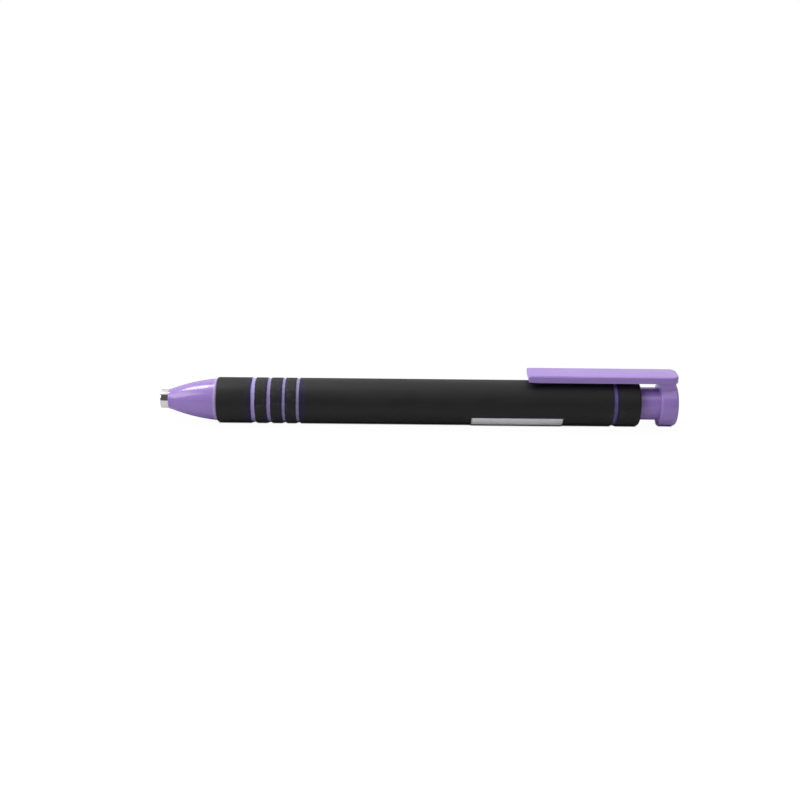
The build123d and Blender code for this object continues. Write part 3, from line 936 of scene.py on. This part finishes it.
# %% Label film
film_finish, tree, sockets = new_finish("pale film", 0.45, IOR=1.48)
tone = use_group(tree, slow_tone, Per_mm=0.6)["Mask"]
specks = use_group(tree, dust, Per_mm=3.0, From=0.7)["Mask"]
pale = mixed(tree, tone, (0.80, 0.80, 0.82), (0.88, 0.88, 0.90))
split = tree.nodes.new("ShaderNodeSeparateXYZ")
link(tree, in_millimetres(tree), split.inputs[0])
middle_x, half_length = (label_front + label_rear) / 2, (label_rear - label_front) / 2
from_middle = math_node(tree, "ABSOLUTE", math_node(tree, "SUBTRACT", split.outputs["X"], middle_x))
dirt = math_node(tree, "MULTIPLY", remap(tree, from_middle, half_length - 0.5, half_length), 0.4)
bordered = mixed(tree, dirt, pale, (0.3, 0.29, 0.3))
dusty = mixed(tree, math_node(tree, "MULTIPLY", specks, 0.4), bordered, (0.2, 0.2, 0.21))
link(tree, dusty, sockets["Base Color"])
link(tree, remap(tree, tone, 0, 1, 0.40, 0.52, False), sockets["Roughness"])
bumped(tree, sockets, use_group(tree, fine_grain, Per_mm=4.0, Detail=3.0)["Height"], 0.3, 0.01)
dressed(film_finish, label)

# %% [markdown]
# ## Floor and background
# The pen lies on a white floor that runs out of the picture. To the camera the floor is almost white by
# its own colour, so that only a faint shadow shows, and a thin dark line where the pen touches it. To the
# pen it is pale card that sends back some of the lamps' light. The world behind it is white to the camera
# and dim to all else.

# %% Floor
def seen_directly(tree):
    """1 where the camera looks straight at the surface, or through something clear."""
    path = tree.nodes.new("ShaderNodeLightPath")
    return math_node(tree, "MAXIMUM", path.outputs["Is Camera Ray"], path.outputs["Is Transmission Ray"])


fresh_selection()
bpy.ops.mesh.primitive_plane_add(size=1.6, location=(0, 0, 0))
floor = bpy.context.object
floor.name = "floor"
floor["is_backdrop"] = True
floor_finish = bpy.data.materials.new("white floor")
floor_finish.use_nodes = True
tree = floor_finish.node_tree
shader = tree.nodes["Principled BSDF"]
shader.inputs["Base Color"].default_value = (0.64, 0.64, 0.65, 1)
shader.inputs["Roughness"].default_value = 0.9
shader.inputs["Specular IOR Level"].default_value = 0.0
glow = tree.nodes.new("ShaderNodeEmission")
glow.inputs["Strength"].default_value = 1.04
blend = tree.nodes.new("ShaderNodeMixShader")
contact = tree.nodes.new("ShaderNodeAmbientOcclusion")
contact.inputs["Distance"].default_value = 0.45 * MM
open_floor = remap(tree, contact.outputs["AO"], 0.3, 0.8, 0.0, 0.93)
link(tree, math_node(tree, "MULTIPLY", seen_directly(tree), open_floor), blend.inputs[0])
link(tree, shader.outputs[0], blend.inputs[1])
link(tree, glow.outputs[0], blend.inputs[2])
link(tree, blend.outputs[0], tree.nodes["Material Output"].inputs["Surface"])
floor.data.materials.append(floor_finish)
print("floor 1.6 m square")

# %% World
world = bpy.data.worlds.new("world")
bpy.context.scene.world = world
world.use_nodes = True
tree = world.node_tree
fill = tree.nodes["Background"]
fill.inputs["Color"].default_value = (1, 1, 1, 1)
fill.inputs["Strength"].default_value = 0.12
white = tree.nodes.new("ShaderNodeBackground")
white.inputs["Color"].default_value = (1, 1, 1, 1)
white.inputs["Strength"].default_value = 1.0
choice = tree.nodes.new("ShaderNodeMixShader")
link(tree, seen_directly(tree), choice.inputs[0])
link(tree, fill.outputs[0], choice.inputs[1])
link(tree, white.outputs[0], choice.inputs[2])
link(tree, choice.outputs[0], tree.nodes["World Output"].inputs["Surface"])
print("world fill", fill.inputs["Strength"].default_value)

# %% [markdown]
# ## Lamps
# The photograph was lit from above and behind by large soft panels, with less light from the side of the
# camera, and most of that from the left: the pen's back is pale, its front is a shade darker, and the
# bright tip shows a dark band. A weak panel high over the camera's right side shows as a sheen on the
# upper half of the button's disc, and two small panels to the upper left put the streak on the cone.

# %% Lamps
def panel(name, place, target, width, depth, watts):
    """A white area lamp that the camera doesn't see, turned to its target."""
    data = bpy.data.lights.new(name, "AREA")
    data.shape = "RECTANGLE"
    data.size, data.size_y = width, depth
    data.energy = watts
    lamp = bpy.data.objects.new(name, data)
    bpy.context.collection.objects.link(lamp)
    lamp.location = place
    lamp.rotation_mode = "QUATERNION"
    lamp.rotation_quaternion = (Vector(target) - Vector(place)).to_track_quat("-Z", "Y")
    lamp.visible_camera = False
    print(name, "gives", watts, "W")


pen_middle = (0, 0, axis_height * MM)
panel("overhead panel", (0, 0.16, 0.75), pen_middle, 1.6, 0.72, 3.8)
panel("back panel", (0, 0.95, 0.56), pen_middle, 2.4, 0.8, 5.7)
panel("streak panel", (-0.400, 0.170, 0.685), pen_middle, 0.24, 0.20, 2.5)
panel("second streak", (-0.305, 0.213, 0.725), pen_middle, 0.09, 0.12, 0.18)
panel("left panel", (-0.80, -0.34, 0.58), pen_middle, 0.5, 0.6, 4.5)
panel("front panel", (0.26, -0.39, 0.74), pen_middle, 0.4, 0.39, 0.75)

# %% [markdown]
# ## Sizes
# Both boxes, that of the solids and that of the dressed pen, are printed in millimetres. The dressed pen
# must stay inside the box of its solids.

# %% Print both boxes
seen_low, seen_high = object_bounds()
sizes = {"cad": [list(cad_low), list(cad_high)], "visual": [list(seen_low), list(seen_high)]}
for name, corners in sizes.items():
    print(name, [[round(float(v) / MM, 3) for v in corner] for corner in corners])
